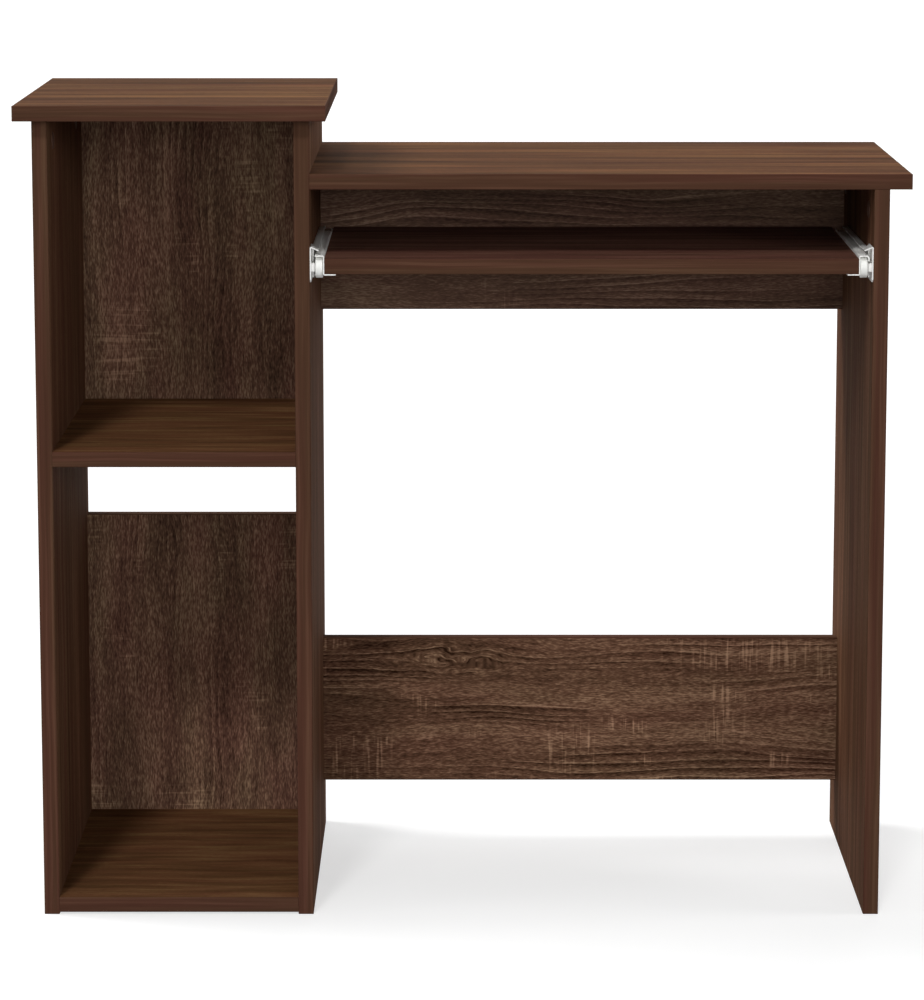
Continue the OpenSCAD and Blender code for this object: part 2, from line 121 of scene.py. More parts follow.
def oak_laminate(
    name,
    grain,
    colours,
    bend=5,
    bend_length=150,
    flecks=0.0,
    streaks=(2.0, 350, 26),
    lines=0.0,
    saw=0.0,
    hue=(1.0, 150, 30),
    shift=(0, 0, 0),
    knot=None,
    painted_light_ramp=(0.0, 0),
    saw_patches=(),
    roughness=0.85,
    board_gloss=0.02,
):
    """Melamine paper printed as brown oak, on chipboard: dark pores and pale flecks a few mm long that
    follow the growth lines, long streaks, and saw marks across the grain.

    grain names the object axes along the grain, across it and through the board. colours are those of the
    darkest pores, of the board as a whole and of the palest lines. flecks, lines and saw are the amounts of
    pores, growth lines and saw marks. bend and bend_length are how far the growth lines sway, and over what
    length, in mm. streaks and hue give an amount, a length and a width in mm. shift moves the pattern, in
    mm, so that it isn't the same as on other boards. knot and saw_patches give places and half sizes along
    and across the grain, in mm. The painted light ramp is painted light and shade: it gives how much paler
    the board is painted in each 100 mm along the grain, and the place where it has its own tone."""
    made, tree, shader = surface(name, Roughness=roughness, IOR=1.45, Specular_IOR_Level=board_gloss)
    place = add(tree, "TexCoord", output="Object")
    in_mm = add(tree, "Mapping", {"Vector": place, "Location": shift, "Scale": (1000, 1000, 1000)})
    parts = add(tree, "SeparateXYZ", {0: in_mm}).node.outputs
    along, across, through = (parts["XYZ".index(axis)] for axis in grain)

    noise_reach = 0.25
    whole_board = 400

    def pattern(lines_at, length, width, depth, detail=2.0, fineness=0.55):
        """Cloudy noise of that size in mm, 0.5 on average and mostly within noise_reach of it."""
        at = add(
            tree,
            "VectorMath",
            {0: lines_at, 1: (1 / length, 1 / width, 1 / depth)},
            operation="MULTIPLY",
        )
        return add(
            tree, "TexNoise", {"Vector": at, "Scale": 1.0, "Detail": detail, "Roughness": fineness}
        )

    def mixed_in(tone, amount, of, middle=0.5):
        """tone, made paler or darker by amount where the pattern is above or below its middle."""
        offset = add(tree, "Math", {0: of, 1: middle}, operation="SUBTRACT")
        return add(tree, "Math", {0: offset, 1: amount, 2: tone}, operation="MULTIPLY_ADD")

    def spot(centre, size, core):
        """1 in the core of an oval of that centre and half size in mm, falling to 0 just past its edge."""
        faded_out = 1.15
        scale = (1 / size[0], 1 / size[1], 0)
        moved = add(tree, "VectorMath", {0: straight, 1: (*centre, 0)}, operation="SUBTRACT")
        moved = add(tree, "VectorMath", {0: moved, 1: scale}, operation="MULTIPLY")
        away = add(tree, "VectorMath", {0: moved}, output="Value", operation="LENGTH")
        return add(
            tree,
            "MapRange",
            {"Value": away, "From Min": core, "From Max": faded_out, "To Min": 1.0, "To Max": 0.0},
        )

    # the trunk's taper makes the growth lines sway, and they part round a knot
    straight = add(tree, "CombineXYZ", {0: along, 1: across, 2: through})
    sway = pattern(straight, bend_length, 0.4 * bend_length, whole_board, detail=1.5)
    bent = mixed_in(across, bend / noise_reach, sway)
    if knot:
        centre, size = knot
        knot_depth = 60
        curl = 0.55 * size[1]
        closeness = 0.45
        swirl = spot(centre, size, core=0.1)
        curls = pattern(straight, 0.5 * size[0], 0.5 * size[1], knot_depth, detail=1.0)
        curled = mixed_in(bent, curl / noise_reach, curls)
        parted = add(tree, "Math", {0: curled, 1: centre[1]}, operation="SUBTRACT")
        parted = add(tree, "Math", {0: parted, 1: closeness, 2: centre[1]}, operation="MULTIPLY_ADD")
        bent = add(tree, "Mix", {0: swirl, 2: bent, 3: parted}, data_type="FLOAT")
    growth = add(tree, "CombineXYZ", {0: along, 1: bent, 2: through})

    # tone is 0 in the darkest pore, 0.5 in the board's own colour and 1 on the palest line
    amount, length, width = streaks
    tone = mixed_in(0.5, amount, pattern(growth, length, width, 3 * width, detail=5.0, fineness=0.62))
    if flecks:
        pore = (5.5, 1.05, 3.0)
        cluster = (26, 3.0, 8.0)
        cluster_share = 0.35
        tone = mixed_in(tone, flecks, pattern(growth, *pore, detail=1.0))
        tone = mixed_in(tone, cluster_share * flecks, pattern(growth, *cluster))

    # painted light and shade: the board is painted paler towards one end and darker towards the other
    if painted_light_ramp[0]:
        tone = mixed_in(tone, painted_light_ramp[0] / 100, along, middle=painted_light_ramp[1])

    # growth lines that wander by up to a gap, in some zones only: thin pale lines with a soft dark side
    if lines:
        line_gap = 8.0
        uneven = pattern(growth, 260, 30, whole_board, detail=1.0)
        ring = add(tree, "Math", {0: bent, 1: line_gap}, operation="DIVIDE")
        ring = add(tree, "Math", {0: mixed_in(ring, 1 / noise_reach, uneven)}, operation="FRACT")
        pale = add(tree, "MapRange", {"Value": ring, "From Min": 0.8, "To Max": 0.75})
        dusk = add(tree, "MapRange", {"Value": ring, "From Min": 0.25, "From Max": 0.8, "To Max": -0.35})
        both = add(tree, "Math", {0: pale, 1: dusk}, operation="ADD")
        zone = pattern(straight, 320, 42, whole_board, detail=1.0)
        zone = add(tree, "MapRange", {"Value": zone, "From Min": 0.46, "From Max": 0.6})
        both = add(tree, "Math", {0: both, 1: zone}, operation="MULTIPLY")
        tone = add(tree, "Math", {0: both, 1: lines, 2: tone}, operation="MULTIPLY_ADD")

    # saw marks: thin pale lines across the grain, 3 to 7 mm apart
    if saw:
        mark_width, mark_length, mark_depth = 3.2, 56, 60
        mark = pattern(straight, mark_width, mark_length, mark_depth, detail=1.5, fineness=0.5)
        mark = add(tree, "MapRange", {"Value": mark, "From Min": 0.52, "From Max": 0.68})
        zone = pattern(straight, 60, 34, whole_board, detail=1.0)
        zone = add(tree, "MapRange", {"Value": zone, "From Min": 0.6, "From Max": 0.7})
        for centre, size in saw_patches:
            zone = add(tree, "Math", {0: zone, 1: spot(centre, size, core=0.6)}, operation="MAXIMUM")
        marks = add(tree, "Math", {0: mark, 1: zone}, operation="MULTIPLY")
        tone = add(tree, "Math", {0: marks, 1: saw, 2: tone}, operation="MULTIPLY_ADD")

    ramp = add(tree, "ValToRGB", {0: tone})
    elements = ramp.node.color_ramp.elements
    elements.new(0.5)
    for element, colour in zip(elements, colours):
        element.color = tint(colour)

    # the print is redder in some streaks and more olive in others
    amount, length, width = hue
    warm = pattern(growth, length, width, 3 * width, detail=2.0)
    warm = add(tree, "MapRange", {"Value": warm, "From Min": 0.35, "From Max": 0.65})
    cast = add(
        tree,
        "Mix",
        {0: warm, 6: tint_of_print(-amount), 7: tint_of_print(amount)},
        output=2,
        data_type="RGBA",
    )
    colour = add(
        tree,
        "Mix",
        {0: 1.0, 6: ramp, 7: cast},
        output=2,
        data_type="RGBA",
        blend_type="MULTIPLY",
    )
    tree.links.new(colour, shader.inputs["Base Color"])

    # the press plate leaves the pores about 0.05 mm deep
    bump = add(tree, "Bump", {"Height": tone, "Strength": 0.25, "Distance": 0.05 * MM})
    tree.links.new(bump, shader.inputs["Normal"])
    return made


def tint_of_print(amount):
    """A multiplier for colours: redder above 0, more olive below it."""
    return (1 + 0.06 * amount, 1 - 0.05 * amount, 1 + 0.02 * amount, 1)


def white_epoxy():
    """Epoxy powder coat on pressed steel: a cool white with a soft sheen and faint orange peel."""
    made, tree, shader = surface(
        "white_epoxy_steel", Base_Color=tint("#edece9"), Roughness=0.32, IOR=1.5
    )
    place = add(tree, "TexCoord", output="Object")
    peel = add(tree, "TexNoise", {"Vector": place, "Scale": 1 / (1.5 * MM), "Detail": 1.0})
    bump = add(tree, "Bump", {"Height": peel, "Strength": 0.15, "Distance": 0.05 * MM})
    tree.links.new(bump, shader.inputs["Normal"])
    return made


def white_nylon():
    """Moulded nylon: milky white, satin in some patches and duller in others."""
    made, tree, shader = surface("white_moulded_nylon", Base_Color=tint("#f0f0ec"), IOR=1.53)
    place = add(tree, "TexCoord", output="Object")
    worn = add(tree, "TexNoise", {"Vector": place, "Scale": 1 / (2 * MM), "Detail": 2.0})
    rough = add(tree, "MapRange", {"Value": worn, "To Min": 0.3, "To Max": 0.46})
    tree.links.new(rough, shader.inputs["Roughness"])
    return made


def zinc_plate(name, colour, roughness):
    """Bright zinc on steel or die-cast zinc: pale grey, slightly blue, with cloudy variation."""
    made, tree, shader = surface(name, Metallic=1.0, Base_Color=tint(colour))
    place = add(tree, "TexCoord", output="Object")
    cloud = add(tree, "TexNoise", {"Vector": place, "Scale": 1 / (3 * MM), "Detail": 3.0})
    rough = add(
        tree, "MapRange", {"Value": cloud, "To Min": roughness - 0.08, "To Max": roughness + 0.1}
    )
    tree.links.new(rough, shader.inputs["Roughness"])
    return made


def brown_plastic():
    """Injection-moulded polystyrene cap, matched to the board, with a fine satin texture."""
    made, tree, shader = surface("brown_cap_plastic", Base_Color=tint("#4f3529"), Roughness=0.5)
    place = add(tree, "TexCoord", output="Object")
    grit = add(tree, "TexNoise", {"Vector": place, "Scale": 1 / (0.4 * MM), "Detail": 1.0})
    bump = add(tree, "Bump", {"Height": grit, "Strength": 0.2, "Distance": 0.03 * MM})
    tree.links.new(bump, shader.inputs["Normal"])
    return made


def beech():
    """Plain beech dowel: pale pinkish tan with short fine pores."""
    made, tree, shader = surface("beech_dowel", Roughness=0.6)
    place = add(tree, "TexCoord", output="Object")
    pores = add(tree, "TexNoise", {"Vector": place, "Scale": 1 / (0.8 * MM), "Detail": 2.0})
    ramp = add(tree, "ValToRGB", {0: pores})
    ramp.node.color_ramp.elements[0].color = tint("#a98558")
    ramp.node.color_ramp.elements[1].color = tint("#d5b486")
    tree.links.new(ramp, shader.inputs["Base Color"])
    return made


panel_oak = oak_laminate(
    "brown_oak_panel", "ZYX", ("#321f15", "#634432", "#9b7459"),
    bend=4, flecks=0.35, streaks=(1.0, 380, 20), lines=0.35, hue=(0.6, 400, 24), roughness=0.8,
)
tower_back_oak = oak_laminate(
    "brown_oak_tower_back", "ZXY", ("#2b1a11", "#684b3c", "#a9886d"),
    bend=7, bend_length=240, flecks=1.2, streaks=(0.9, 300, 30), lines=0.5, saw=0.24, hue=(0.7, 160, 45),
    board_gloss=0.12, shift=(0, 1781, 0),
    saw_patches=(
        ((521, -355), (50, 42)), ((690, -225), (38, 16)), ((300, -185), (36, 14)), ((32, -300), (20, 30)),
    ),
)
# the lower rail is painted darker at its left end, beside the centre panel, and paler towards its right end:
# painted shade and light
rail_oak = oak_laminate(
    "brown_oak_rail", "XZY", ("#27170e", "#614535", "#9f7e65"),
    bend=7, bend_length=240, flecks=1.15, streaks=(0.8, 300, 24), lines=1.0, saw=0.38, hue=(0.35, 200, 40),
    knot=((-15, 190), (75, 26)), shift=(0, 1370, 0), painted_light_ramp=(0.024, 130),
    saw_patches=(
        ((-110, 85), (42, 26)), ((115, 92), (34, 30)), ((300, 196), (90, 20)), ((275, 120), (30, 22)),
    ),
)
# the upper rail has the rail's decor, painted paler, greyer and with fainter marks than the lower rail's:
# painted fill light and painted sheen for a board that sits in the shade of the desk top
upper_rail_painted_light_oak = oak_laminate(
    "brown_oak_upper_rail_painted_light", "XZY", ("#291a13", "#644b3e", "#a2846e"),
    bend=7, bend_length=240, flecks=0.75, streaks=(0.8, 300, 24), lines=0.7, saw=0.16, hue=(0.35, 200, 40),
    board_gloss=0.12,
)
top_oak = oak_laminate(
    "brown_oak_top", "XYZ", ("#1f0f08", "#543723", "#7d5738"),
    bend=5, bend_length=260, flecks=0.4, streaks=(1.7, 420, 32), lines=0.5, hue=(0.5, 260, 40),
    shift=(0, 0, 685),
)
shelf_oak = oak_laminate(
    "brown_oak_shelf", "XYZ", ("#331f14", "#6f4c32", "#a27c54"),
    bend=6, bend_length=160, streaks=(1.2, 150, 16), flecks=0.3, hue=(0.6, 120, 25), shift=(0, 0, 274),
)
tray_oak = oak_laminate(
    "brown_oak_tray", "XYZ", ("#2d1b15", "#68453a", "#96705d"),
    bend=5, bend_length=220, flecks=0.3, streaks=(1.2, 260, 20), hue=(0.5, 200, 30), shift=(0, 0, 1507),
)
band_colours = ("#2a1911", "#4e3428", "#775644")
upright_band = oak_laminate(
    "brown_oak_band_upright", "ZXY", band_colours, bend=1, streaks=(0.9, 300, 5), hue=(0.8, 500, 9),
)
level_band = oak_laminate(
    "brown_oak_band_level", "XZY", band_colours, bend=1, streaks=(0.9, 300, 5), hue=(0.8, 500, 9),
)
side_band = oak_laminate(
    "brown_oak_band_side", "YZX", band_colours, bend=1, streaks=(0.9, 300, 5), hue=(0.8, 500, 9),
)
epoxy = white_epoxy()
nylon = white_nylon()
zinc = zinc_plate("die_cast_zinc", "#b4b6b8", 0.42)
plated = zinc_plate("zinc_plated_steel", "#c6c8ca", 0.28)
cap_plastic = brown_plastic()
dowel_beech = beech()

finishes = {
    panel_oak: ("left_side_panel", "centre_panel", "right_side_panel"),
    tower_back_oak: ("upper_tower_back", "lower_tower_back"),
    rail_oak: ("lower_rail",),
    upper_rail_painted_light_oak: ("upper_rail",),
    top_oak: ("tower_top", "desk_top"),
    shelf_oak: ("middle_shelf", "bottom_shelf"),
    tray_oak: ("keyboard_tray",),
    epoxy: ("left_cabinet_slide", "right_cabinet_slide", "left_tray_slide", "right_tray_slide"),
    nylon: ("left_front_roller", "right_front_roller", "left_rear_roller", "right_rear_roller"),
    zinc: ("cam_housings", "cam_bolts"),
    plated: ("front_axles", "rear_axles", "cabinet_slide_screws", "tray_slide_screws"),
    cap_plastic: ("cam_caps",),
    dowel_beech: ("wooden_dowels",),
}
for finish, nodes in finishes.items():
    for node in nodes:
        for slot in frame["nodes"][node].material_slots:
            slot.material = finish

# ---- Steps that the bands, slides and rollers share ----

near = 0.05 * MM


def same(value, place):
    """Whether two coordinates are one place."""
    return abs(value - place) < near


def take(piece):
    """Makes a piece the only one selected, and the active one."""
    bpy.ops.object.select_all(action="DESELECT")
    piece.select_set(True)
    bpy.context.view_layer.objects.active = piece


def block(name, low, high):
    """A plain block between two corners, left in edit mode to be shaped."""
    low, high = Vector(low), Vector(high)
    bpy.ops.object.select_all(action="DESELECT")
    bpy.ops.mesh.primitive_cube_add(size=1, location=(low + high) / 2)
    piece = bpy.context.object
    piece.name = name
    piece.scale = high - low
    bpy.ops.object.transform_apply(location=True, scale=True)
    bpy.ops.object.mode_set(mode="EDIT")
    return piece


def pick(piece, test, kind="EDGE", along=None):
    """In edit mode, selects the corners, edges or faces that pass the test: an edge with both its ends,
    a face with its middle. With along, an edge also has to run along that axis."""
    bpy.ops.mesh.select_mode(type=kind)
    bpy.ops.mesh.select_all(action="DESELECT")
    mesh = bmesh.from_edit_mesh(piece.data)
    if kind == "FACE":
        for face in mesh.faces:
            face.select_set(test(face.calc_center_median()))
    elif kind == "VERT":
        for corner in mesh.verts:
            corner.select_set(test(corner.co))
    else:
        for edge in mesh.edges:
            start, end = (v.co for v in edge.verts)
            runs = along is None or not same(start[along], end[along])
            edge.select_set(runs and test(start) and test(end))
    bmesh.update_edit_mesh(piece.data)


def hand_over(piece, finish, body, replaced):
    """Gives a finished piece its shading and finish, and puts it in the place of a CAD node."""
    take(piece)
    bpy.ops.object.shade_smooth_by_angle(angle=math.radians(35))
    piece.data.materials.append(finish)
    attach(piece, body)
    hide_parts(replaced)


# ---- Edge bands: strips of the same decor, with their long outer arrises rounded ----

band_t = 1 * MM
band_round = 0.8 * MM


def edge_band(name, low, high, outer, body, replaced, finish):
    """A strip between two corners. outer is the way that it faces, such as "-Y"."""
    strip = block(name, low, high)
    axis = "XYZ".index(outer[1])
    face = high[axis] if outer[0] == "+" else low[axis]
    length = max(range(3), key=lambda i: high[i] - low[i])
    pick(strip, lambda p: same(p[axis], face), along=length)
    bpy.ops.mesh.bevel(offset=band_round, segments=4, affect="EDGES")
    bpy.ops.object.mode_set(mode="OBJECT")
    hand_over(strip, finish, body, replaced)


for node, body, outer, finish in (
    ("left_side_edging", "carcase", "-Y", upright_band),
    ("centre_panel_edging", "carcase", "-Y", upright_band),
    ("right_side_edging", "carcase", "-Y", upright_band),
    ("middle_shelf_edging", "carcase", "-Y", level_band),
    ("bottom_shelf_edging", "carcase", "-Y", level_band),
    ("keyboard_tray_edging", "tray", "-Y", level_band),
    ("lower_tower_back_edging", "carcase", "+Z", level_band),
    ("upper_rail_edging", "carcase", "-Z", level_band),
):
    low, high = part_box(node)
    edge_band(node.replace("edging", "band"), low, high, outer, body, node, finish)

# the lower rail has a band on its upper and its lower edge
node = "lower_rail_edging"
low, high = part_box(node)
upper = (low.x, low.y, high.z - band_t)
lower = (high.x, high.y, low.z + band_t)
edge_band("lower_rail_band_top", upper, high, "+Z", "carcase", node, level_band)
edge_band("lower_rail_band_bottom", low, lower, "-Z", "carcase", node, level_band)

# the tower top has bands in front and on both sides, and the desk top in front and on the right
for node, sides in (("tower_top_edging", "-+"), ("desk_top_edging", "+")):
    low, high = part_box(node)
    name = node.replace("edging", "band")
    edge_band(name + "_front", low, (high.x, low.y + band_t, high.z), "-Y", "carcase", node, level_band)
    for side in sides:
        inner = low.x if side == "-" else high.x - band_t
        edge_band(
            f"{name}_{'left' if side == '-' else 'right'}",
            (inner, low.y + band_t, low.z),
            (inner + band_t, high.y, high.z),
            side + "X",
            "carcase",
            node,
            side_band,
        )

# ---- Slides: white coated sheet steel, folded and punched, on nylon rollers ----

sheet_t = 1.2 * MM
half_t = sheet_t / 2
fold_r = 1.2 * MM
cut_edge_r = 0.15 * MM
screw_hole_r = 2.15 * MM
slot_r = 2 * MM
slot_stretch = 5 * MM
axle_bore_r = 3.05 * MM
tab_corner_r = 1.2 * MM

cabinet_low, cabinet_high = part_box("left_cabinet_slide")
runner_low, runner_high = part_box("left_tray_slide")
roller_low, roller_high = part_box("left_front_roller")
rear_low, rear_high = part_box("left_rear_roller")
tray_low, tray_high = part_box("keyboard_tray_edging")
slides_middle = (cabinet_low.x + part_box("right_cabinet_slide")[1].x) / 2
front_y = runner_low.y
axle_z = (roller_low.z + roller_high.z) / 2
axle_y = (roller_low.y + roller_high.y) / 2
tray_travel = frame["joints"][0]["range_m"][1]


def blank(name, x, low, high):
    """A flat upright sheet at x, from low to high in (y, z), left in edit mode to be shaped."""
    bpy.ops.object.select_all(action="DESELECT")
    middle = [(a + b) / 2 for a, b in zip(low, high)]
    bpy.ops.mesh.primitive_plane_add(size=1, location=(x, *middle), rotation=(0, math.pi / 2, 0))
    piece = bpy.context.object
    piece.name = name
    piece.scale = (high[1] - low[1], high[0] - low[0], 1)
    bpy.ops.object.transform_apply(location=True, rotation=True, scale=True)
    bpy.ops.object.mode_set(mode="EDIT")
    return piece


def fold_out(piece, test, move):
    """Draws a strip of new sheet out of the edges that pass the test."""
    pick(piece, test)
    bpy.ops.mesh.extrude_edges_move(TRANSFORM_OT_translate={"value": move})


def slant(piece, test, move):
    """Moves the corners that pass the test."""
    pick(piece, test, kind="VERT")
    bpy.ops.transform.translate(value=move)


def scribe(axis, *places):
    """In edit mode, divides the sheet along planes across one axis."""
    normal = [float(letter == axis) for letter in "XYZ"]
    for place in places:
        bpy.ops.mesh.select_all(action="SELECT")
        bpy.ops.mesh.bisect(plane_co=[place * n for n in normal], plane_no=normal)


def modify(piece, kind, **settings):
    """Adds a modifier and applies it."""
    bpy.context.view_layer.objects.active = piece
    made = piece.modifiers.new(kind.lower(), kind)
    for name, value in settings.items():
        setattr(made, name, value)
    bpy.ops.object.modifier_apply(modifier=made.name)


def reflect(piece, middle_x):
    """Turns a left-hand piece into a right-hand one, across an upright plane."""
    take(piece)
    piece.scale.x = -1
    piece.location.x = 2 * middle_x
    bpy.ops.object.transform_apply(location=True, scale=True)
    bpy.ops.object.mode_set(mode="EDIT")
    bpy.ops.mesh.select_all(action="SELECT")
    bpy.ops.mesh.normals_make_consistent(inside=False)
    bpy.ops.object.mode_set(mode="OBJECT")


def copy_of(piece, name):
    """A copy with a mesh of its own."""
    take(piece)
    bpy.ops.object.duplicate()
    bpy.context.object.name = name
    return bpy.context.object


def press(piece):
    """Rounds the folds, gives the sheet its thickness and breaks its cut edges."""
    bpy.ops.mesh.select_all(action="SELECT")
    bpy.ops.mesh.dissolve_limited(angle_limit=math.radians(1))
    bpy.ops.mesh.select_all(action="SELECT")
    bpy.ops.mesh.normals_make_consistent(inside=False)
    bpy.ops.object.mode_set(mode="OBJECT")
    folds = math.radians(40)
    cut_edges = math.radians(60)
    modify(piece, "BEVEL", width=fold_r, segments=4, limit_method="ANGLE", angle_limit=folds)
    modify(piece, "SOLIDIFY", thickness=sheet_t, offset=0, use_even_offset=True)
    modify(piece, "BEVEL", width=cut_edge_r, segments=2, limit_method="ANGLE", angle_limit=cut_edges)


def punch(piece, axis, holes):
    """Punches holes through the sheet along an axis, each a (place, radius, extra length along Y)."""
    turn = (0, math.pi / 2, 0) if axis == "X" else (0, 0, 0)
    punch_length = 4 * MM
    for place, radius, longer in holes:
        bpy.ops.object.select_all(action="DESELECT")
        bpy.ops.mesh.primitive_cylinder_add(
            vertices=24, radius=radius, depth=punch_length, location=place, rotation=turn
        )
        tool = bpy.context.object
        bpy.ops.object.transform_apply(location=True, rotation=True)
        if longer:
            bpy.ops.object.mode_set(mode="EDIT")
            slant(tool, lambda p: p.y > place[1] + near, (0, longer, 0))
            bpy.ops.object.mode_set(mode="OBJECT")
        modify(piece, "BOOLEAN", operation="DIFFERENCE", object=tool, solver="EXACT")
        bpy.data.objects.remove(tool)


def row_of_holes(x, z, screws, slots):
    """Round screw holes and oblong slots in a row, at distances in mm from the slide's front end."""
    round_holes = [((x, front_y + d * MM, z), screw_hole_r, 0) for d in screws]
    oblong_holes = [((x, front_y + d * MM, z), slot_r, slot_stretch) for d in slots]
    return round_holes + oblong_holes


def weld_tab(piece, low, high):
    """Adds a small upright tab with rounded top corners, such as a stop lanced up out of the sheet."""
    tab = block("tab", low, high)
    pick(tab, lambda p: same(p.z, high[2]), along=1)
    bpy.ops.mesh.bevel(offset=tab_corner_r, segments=3, affect="EDGES")
    bpy.ops.object.mode_set(mode="OBJECT")
    modify(piece, "BOOLEAN", operation="UNION", object=tab, solver="EXACT")
    bpy.data.objects.remove(tab)


def slide_channel(name):
    """The channel on the panel: a tall front plate with an ear, a flange above, and below a track with an
    upturned edge that keeps the rear roller in."""
    front, back = cabinet_low.y, cabinet_high.y
    plate_end = front + 39 * MM
    ear_end = plate_end - 5 * MM
    below_track = 2 * MM
    above_runner = 1 * MM
    web_x = cabinet_low.x + half_t
    track_z = cabinet_low.z + below_track + half_t
    flange_z = runner_high.z + above_runner + half_t
    ear_z = cabinet_high.z - half_t
    piece = blank(name, web_x, (front, track_z), (back, flange_z))
    scribe("Y", ear_end, plate_end)

    # front plate: up to the ear, with a slope down behind it, and a little below the track
    rise = ear_z - flange_z
    fold_out(piece, lambda p: same(p.z, flange_z) and p.y < plate_end + near, (0, 0, rise))
    slant(piece, lambda p: same(p.z, ear_z) and same(p.y, plate_end), (0, 0, -rise))
    bpy.ops.mesh.select_all(action="SELECT")
    bpy.ops.mesh.remove_doubles(threshold=near)
    drop = track_z - cabinet_low.z
    fold_out(piece, lambda p: same(p.z, track_z) and p.y < plate_end + near, (0, 0, -drop))
    slant(piece, lambda p: same(p.z, cabinet_low.z) and same(p.y, front), (0, drop, 0))

    # the ear is a small wing that droops a little, cut on the slant at both ends
    ear_reach, ear_droop = 8 * MM, 3.6 * MM
    ear_front_cut, ear_rear_cut = 2 * MM, 24 * MM
    fold_out(piece, lambda p: same(p.z, ear_z), (ear_reach, 0, -ear_droop))
    slant(piece, lambda p: p.x > web_x + near and same(p.y, front), (0, ear_front_cut, 0))
    slant(piece, lambda p: p.x > web_x + near and same(p.y, ear_end), (0, -ear_rear_cut, 0))

    # the flange's front end is cut on the slant too
    flange_reach, flange_cut = 6.4 * MM, 9 * MM
    fold_out(piece, lambda p: same(p.z, flange_z) and p.y > plate_end - near, (flange_reach, 0, 0))
    slant(
        piece,
        lambda p: p.x > web_x + near and same(p.z, flange_z) and same(p.y, plate_end),
        (0, flange_cut, 0),
    )

    # track, widening behind the plate, and its upturned edge
    edge_x = cabinet_high.x - half_t
    edge_height = 2.4 * MM
    track_cut, edge_cut = 5 * MM, 4 * MM
    fold_out(
        piece,
        lambda p: same(p.z, track_z) and same(p.x, web_x) and p.y > plate_end - near,
        (edge_x - web_x, 0, 0),
    )
    slant(piece, lambda p: same(p.x, edge_x) and same(p.y, plate_end), (0, track_cut, 0))
    fold_out(piece, lambda p: same(p.x, edge_x) and same(p.z, track_z), (0, 0, edge_height))
    slant(
        piece,
        lambda p: same(p.x, edge_x) and p.z > track_z + near and same(p.y, plate_end + track_cut),
        (0, edge_cut, 0),
    )

    # oblong boss pressed out of the plate, for the roller's axle, with a little play under the roller
    boss_y, boss_z = 8.4 * MM, 3.9 * MM
    play = 0.3 * MM
    boss_top = roller_low.x - play - half_t
    scribe("Y", axle_y - boss_y, axle_y + boss_y)
    scribe("Z", axle_z - boss_z, axle_z + boss_z)
    pick(
        piece,
        lambda p: same(p.x, web_x) and abs(p.y - axle_y) < boss_y and abs(p.z - axle_z) < boss_z,
        kind="FACE",
    )
    bpy.ops.mesh.extrude_region_move(TRANSFORM_OT_translate={"value": (boss_top - web_x, 0, 0)})
    press(piece)
    screw_z = tray_low.z + 4 * MM
    punch(piece, "X", row_of_holes(web_x, screw_z, (42, 130, 225), (80, 100, 170, 190)))

    # a rib turned in behind the roller stiffens the plate
    rib_y = roller_high.y
    rib_x = cabinet_low.x + 3.4 * MM
    weld_tab(piece, (web_x, rib_y, track_z), (rib_x, rib_y + sheet_t, ear_z - sheet_t))

    # stops that the rear roller meets when the tray is right out and right in
    stop_gap = 2.3 * MM
    stop_x, stop_width, stop_height = cabinet_low.x + 3 * MM, 6 * MM, 3.8 * MM
    stop_top = track_z + half_t + stop_height
    for y in (rear_low.y - tray_travel + stop_gap - sheet_t, rear_high.y - stop_gap):
        weld_tab(piece, (stop_x, y, track_z), (stop_x + stop_width, y + sheet_t, stop_top))
    return piece


def slide_runner(name, lip_x=None):
    """The angle that carries the tray: a foot under it, a web beside it, and a flange above that rides on
    the front roller. With lip_x, the flange also curls down outside the roller and keeps the tray in line."""
    web_x = tray_low.x - half_t
    foot_z = runner_low.z + half_t
    flange_z = runner_high.z - half_t
    flange_end = rear_low.y - 3 * MM
    flange_x = lip_x or runner_low.x
    flange_cut, foot_corner_r = 5 * MM, 3 * MM
    piece = blank(name, web_x, (front_y, foot_z), (runner_high.y, flange_z))
    scribe("Y", flange_end)
    fold_out(piece, lambda p: same(p.z, foot_z), (runner_high.x - web_x, 0, 0))
    fold_out(
        piece,
        lambda p: same(p.z, flange_z) and p.y < flange_end + near,
        (flange_x - web_x, 0, 0),
    )
    slant(piece, lambda p: same(p.x, flange_x) and same(p.y, flange_end), (0, -flange_cut, 0))
    if lip_x:
        lip_depth, lip_cut, curl_r = 5.1 * MM, 4 * MM, 3 * MM
        fold_out(piece, lambda p: same(p.x, lip_x), (0, 0, -lip_depth))
        slant(piece, lambda p: p.z < flange_z - near and p.x < web_x and p.y > 0, (0, -lip_cut, 0))
        pick(piece, lambda p: same(p.x, lip_x) and same(p.z, flange_z))
        bpy.ops.mesh.bevel(offset=curl_r, segments=6, affect="EDGES")
    pick(piece, lambda p: same(p.x, runner_high.x) and same(p.y, runner_high.y), kind="VERT")
    bpy.ops.mesh.bevel(offset=foot_corner_r, segments=4, affect="VERTICES")
    press(piece)

    screw_x = cabinet_low.x + 20 * MM
    punch(piece, "Z", row_of_holes(screw_x, foot_z, (30, 130, 240), (75, 95, 175, 195)))
    punch(piece, "X", [((web_x, (rear_low.y + rear_high.y) / 2, axle_z), axle_bore_r, 0)])
    return piece


